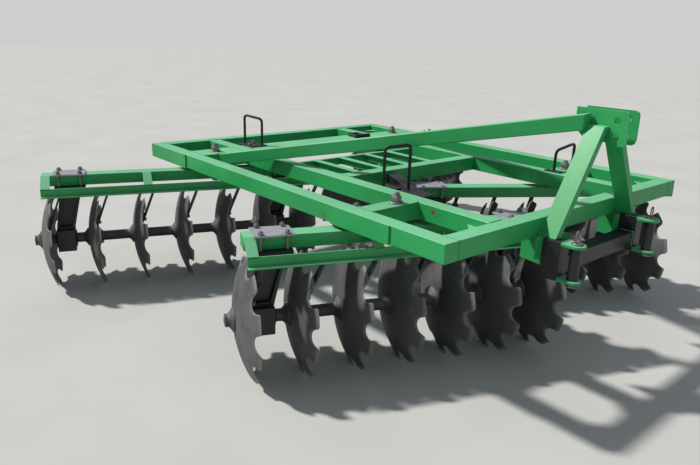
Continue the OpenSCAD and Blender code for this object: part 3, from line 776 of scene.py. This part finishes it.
def shadeWebShape(low, high):
    # a dark leaning plate between the middle of a bearing and the middle of its clamp, put in the hanger's
    # window as painted shade
    half = hanger["web"] / 2
    points = []
    for x, wide, level in zip((low, high), hanger["window"], ("low", "high")):
        z = harrow["axleHeight"] + hanger[level]
        points += [(x + way * wide, y, z) for way in (-1, 1) for y in (-half, half)]
    return points, block((0, 0, 0), (1, 1, 1))[1]


def addBearings(name, g):
    # seal rings on both faces of each housing, and a dark web between a hanger's legs that fills its window
    # as painted shade
    rings, webs = Stock(), Stock()
    for i, x in zip((0, g["discs"] - 2), clampPlaces(g)):
        webs.add(shadeWebShape(space(g, i), x), gangMatrix(g))
        for way in (-1, 1):
            place = (space(g, i) + way * sealRing["out"], 0, harrow["axleHeight"])
            rings.add(ringShape(), gangMatrix(g) @ lying(place, way))
    rings.make(name + "_bearing_rings", name + "_gang", "black_paint")
    webs.make(name + "_hanger_webs", name + "_gang", "black_paint")


def addGangs():
    shape = discShape()
    for name, g in gangs.items():
        addDiscs(name, g, shape)
        addAxle(name, g)
        addClamps(name, g)
        addScraperBar(name, g)
        addScraperArms(name, g)
        addBearings(name, g)
        print("gang dressed:", name)


# fasteners and small parts on the frame
# low and head are heights under the frame's top, where the bolt starts and its head hangs
pivotNut = {"washer": (0.066, 0.008), "across": 0.044, "height": 0.024, "turn": 0.3, "bolt": 0.028,
            "top": 0.050, "low": -0.158, "head": -0.1583, "headHeight": 0.018}


def addPivots():
    stock = Stock()
    for g in gangs.values():
        at = Matrix.Translation(fromFront(g["side"] * g["pivot"][0], g["pivot"][1], 0))
        seat = at @ Matrix.Translation((0, 0, pivotNut["washer"][1]))
        head = at @ Matrix.Translation((0, 0, pivotNut["head"])) @ Matrix.Rotation(math.pi, 4, "X")
        stock.add(washer(*pivotNut["washer"]), at)
        stock.add(nut(pivotNut["across"], pivotNut["height"], pivotNut["turn"]), seat)
        stock.add(stud(pivotNut["bolt"], pivotNut["low"], pivotNut["top"]), at)
        stock.add(nut(pivotNut["across"], pivotNut["headHeight"]), head)
    stock.make("pivot_nuts", "frame", "zinc", replaces=("pivot_bolts",))


# places from the middle, the front face and the frame's top
pins = {"x": 0.325, "y": -0.165, "diameter": 0.028, "top": -0.076, "low": -0.254, "point": 0.004,
        "pointed": 0.6, "head": 0.009, "headHeight": 0.006, "crown": 0.007, "crownHeight": 0.008}
# the ring on a pin's head: half width and height, lean and middle
pinRing = {"wide": 0.01178, "high": 0.0247, "lean": 0.0019, "middle": 0.02565, "wire": 0.0032,
           "steps": 24}
# the open clip round a pin's foot, and the short bar through it
pinClip = {"wide": 0.036, "deep": 0.030, "middle": -0.006, "gap": 0.1, "wire": 0.0026, "steps": 22,
           "up": 0.006, "bar": (-0.024, 0.026), "barRadius": 0.0038}
pinSleeve = {"low": -0.229, "high": -0.088, "bore": 0.0165, "mouth": 0.021, "radius": 0.023,
             "corner": 0.002}


def pinBar():
    r, low, top = pins["diameter"] / 2, pins["low"], pins["top"]
    return stood(turned([(low, r * pins["pointed"]), (low + pins["point"], r), (top, r),
                         (top, r + pins["head"]), (top + pins["headHeight"], r + pins["head"]),
                         (top + pins["crownHeight"], r + pins["crown"])], 32))


def sleeveShape():
    low, high, c = pinSleeve["low"], pinSleeve["high"], pinSleeve["corner"]
    bore, mouth, radius = pinSleeve["bore"], pinSleeve["mouth"], pinSleeve["radius"]
    return stood(turned([(low, bore), (low, mouth), (low + c, radius), (high - c, radius),
                         (high, mouth), (high, bore)], 32))


def ringPath():
    turns = [2 * math.pi * k / pinRing["steps"] for k in range(pinRing["steps"] + 1)]
    return [Vector((pinRing["wide"] * math.cos(a), pinRing["lean"],
                    pinRing["middle"] + pinRing["high"] * math.sin(a))) for a in turns]


def clipPath():
    gap, steps = pinClip["gap"], pinClip["steps"]
    turns = [math.pi * (gap + (2 - 2 * gap) * k / steps) for k in range(steps + 1)]
    return [Vector((pinClip["wide"] * math.cos(a), pinClip["deep"] * math.sin(a) + pinClip["middle"], 0))
            for a in turns]


def addHitchPins():
    bars, clips, sleeves = Stock(), Stock(), Stock()
    for side in (-1, 1):
        at = Matrix.Translation(fromFront(side * pins["x"], pins["y"], 0))
        head = at @ Matrix.Translation((0, 0, pins["top"] + pins["headHeight"]))
        foot = at @ Matrix.Translation((0, 0, pins["low"] + pinClip["up"]))
        bars.add(pinBar(), at)
        clips.add(rod(ringPath(), pinRing["wire"], 8), head)
        clips.add(rod(clipPath(), pinClip["wire"], 8), foot)
        clips.add(rod([Vector((x, 0, 0)) for x in pinClip["bar"]], pinClip["barRadius"], 10), foot)
        sleeves.add(sleeveShape(), at)
    bars.make("hitch_pin_bars", "frame", "zinc", replaces=("hitch_pins",))
    clips.make("hitch_pin_clips", "frame", "zinc")
    sleeves.make("hitch_pin_sleeves", "frame", "black_paint")


# the bent handles of the lock pins: points from the middle, the front face and the frame's top
handles = {
    "front": [(-0.490, 0.795, -0.015), (-0.490, 0.795, 0.187), (-0.400, 0.712, 0.204),
              (-0.400, 0.712, -0.015)],
    "rear": [(-0.457, 2.131, 0.008), (-0.457, 2.131, 0.188), (-0.403, 2.014, 0.170),
             (-0.403, 2.014, 0.008)],
    "laid": [(0.350, 1.964, 0.012), (0.350, 2.060, 0.012), (0.450, 2.060, 0.012),
             (0.450, 1.964, 0.012)],
    "left": [(0.545, 0.500, 0.008), (0.545, 0.500, 0.119), (0.545, 0.395, 0.177),
             (0.545, 0.395, 0.000)],
}
handleBar = {"radius": 0.008, "bend": 0.024, "steps": 14}
# the plates of the rear, laid and left ones, by two opposite corners, and the rear plate's bolts
handleSeats = {"plates": (((-0.500, 1.990, 0), (-0.380, 2.150, 0.008)),
                          ((0.335, 1.940, 0), (0.465, 1.964, 0.024)),
                          ((0.525, 0.450, 0), (0.565, 0.550, 0.008))),
               "bolts": ((-0.480, 2.040, 0.008), (-0.400, 2.120, 0.008)),
               "washer": (0.024, 0.002), "nut": (0.019, 0.010)}


def addHandles():
    bars, seats, bolts = Stock(), Stock(), Stock()
    for points in handles.values():
        path = rounded([fromFront(*p) for p in points], handleBar["bend"])
        bars.add(rod(path, handleBar["radius"], handleBar["steps"]))
    for low, high in handleSeats["plates"]:
        seats.add(block(fromFront(*low), fromFront(*high)))
    for place in handleSeats["bolts"]:
        at = Matrix.Translation(fromFront(*place))
        bolts.add(washer(*handleSeats["washer"]), at)
        bolts.add(nut(*handleSeats["nut"]), at @ Matrix.Translation((0, 0, handleSeats["washer"][1])))
    bars.make("lock_pin_handles", "frame", "black_paint", replaces=("lock_handles",))
    seats.make("lock_pin_seats", "frame", "black_paint", 0.0015)
    bolts.make("lock_pin_bolts", "frame", "zinc")


# where the weld seams lie, from the middle, the front face and the frame's top
seams = {
    "pivotMembers": ((0.470, 0.558), (1.922, 2.086)),       # y of both faces of each member
    "innerMembers": ((1.029, 1.109), (1.922, 2.086)),
    "proud": 0.001,
    "towerFoot": (0.301, 0.261), "towerLean": 0.04608,      # x of a leg's sides, and how far they lean
    "towerTop": (0.080, 0.046), "towerTopAt": (-0.079, 0.364),
    "stay": (0.714, 0.771), "stayEnd": 1.922, "staySide": (-0.002, -0.064),
    "hitchBlock": (0.293, 0.357), "hitchFace": -0.115, "clevises": (-0.088, -0.076, -0.228, -0.240),
    "crossTube": (-0.150, -0.220), "crossTubeFaces": (-0.107, -0.037),
}


def memberSeams(x, y0, y1):
    # where a member meets a bar: across its top and down both its faces
    t = harrow["tube"]
    return [((x, y0, 0), (x, y1, 0)), ((x, y0, 0), (x, y0, -t)), ((x, y1, 0), (x, y1, -t))]


def frameSeams():
    # the seams of the frame's tubes on one side
    w, l, t, inner = (harrow[k] for k in ("halfWidth", "length", "tube", "innerBar"))
    low, high = inner - t / 2, inner + t / 2
    lines = [((w - t, y0, 0), (w - t, y1, 0)) for y0, y1 in ((0, t), (l - t, l))]
    lines += [((x, y, 0), (x, y, -t)) for x in (low, high) for y in (t, l - t)]
    lines += [((low, y, 0), (high, y, 0)) for y in (t, l - t)]
    for y0, y1 in seams["pivotMembers"]:
        lines += memberSeams(high, y0, y1) + memberSeams(w - t, y0, y1)
    for y0, y1 in seams["innerMembers"]:
        lines += memberSeams(low, y0, y1)
    return lines


def hitchSeams():
    # the seams of the tower, the stays' rear ends and the hitch on one side
    out, t = seams["proud"], harrow["tube"]
    outer, inner = seams["towerFoot"]
    lines = [((x, -out, out), (x + seams["towerLean"], -out, out - t)) for x in (outer, inner)]
    lines.append(((outer, -out, out), (inner, -out, out)))
    (low, high), end, (z0, z1) = seams["stay"], seams["stayEnd"], seams["staySide"]
    lines += [((x, end - out, z0), (x, end - out, z1)) for x in (low, high)]
    lines.append(((low, end, out), (high, end, out)))
    (low, high), face = seams["hitchBlock"], seams["hitchFace"]
    lines += [((low, face, z), (high, face, z)) for z in seams["clevises"]]
    (y0, y1), (z0, z1) = seams["crossTubeFaces"], seams["crossTube"]
    lines += [((low, y0, z), (low, y1, z)) for z in (z0, z1)]
    lines.append(((low, y0, z0), (low, y0, z1)))
    (x0, x1), (y, z) = seams["towerTop"], seams["towerTopAt"]
    lines.append(((x0, y, z), (x1, y, z)))
    return lines


def addSeams():
    stock = Stock()
    for side in (-1, 1):
        for ends in frameSeams() + hitchSeams():
            a, b = (fromFront(side * x, y, z) for x, y, z in ends)
            count = max(3, int((b - a).length / bead["step"]))
            path = [a.lerp(b, i / count) for i in range(count + 1)]
            stock.add(rod(path, bead["radius"], 7, bead["ripple"]))
    stock.make("weld_seams", "frame", "green_paint", sharp=80)


# floor and backdrop
floorValues = {"size": 90, "dark": (0.52, 0.515, 0.50), "light": (0.56, 0.555, 0.54)}


def addFloor():
    f = Finish("paleFloor")
    cloud = f.noise(1.4, 5)
    colour = f.mix(cloud.ramp(0.3, 0.7), floorValues["dark"], floorValues["light"])
    f.set(Base_Color=colour, Roughness=0.9, Specular_IOR_Level=0.2)
    bpy.ops.mesh.primitive_plane_add(size=floorValues["size"], location=(0, 0, 0))
    floor = bpy.context.object
    floor.name = "floor"
    floor.data.materials.append(f.material)


# light from all round, and a pale backdrop where the camera looks past the floor
studio = {"light": ((0.84, 0.92, 1.0, 1), 0.32), "backdrop": ((0.62, 0.62, 0.61, 1), 1.0)}


def addWorld():
    world = bpy.data.worlds.new("studio")
    bpy.context.scene.world = world
    world.use_nodes = True
    tree = world.node_tree
    light, backdrop = tree.nodes["Background"], tree.nodes.new("ShaderNodeBackground")
    light.inputs[0].default_value, light.inputs[1].default_value = studio["light"]
    backdrop.inputs[0].default_value, backdrop.inputs[1].default_value = studio["backdrop"]
    rays, choose = tree.nodes.new("ShaderNodeLightPath"), tree.nodes.new("ShaderNodeMixShader")
    tree.links.new(rays.outputs["Is Camera Ray"], choose.inputs[0])
    tree.links.new(light.outputs[0], choose.inputs[1])
    tree.links.new(backdrop.outputs[0], choose.inputs[2])
    tree.links.new(choose.outputs[0], tree.nodes["World Output"].inputs[0])


addCamera()
addLamps()
addWorld()
addFloor()
print("stage set")
dressKept()
addGangs()
addPivots()
addHitchPins()
addHandles()
addSeams()
print("frame dressed")

bpy.context.scene.view_settings.view_transform = "Standard"
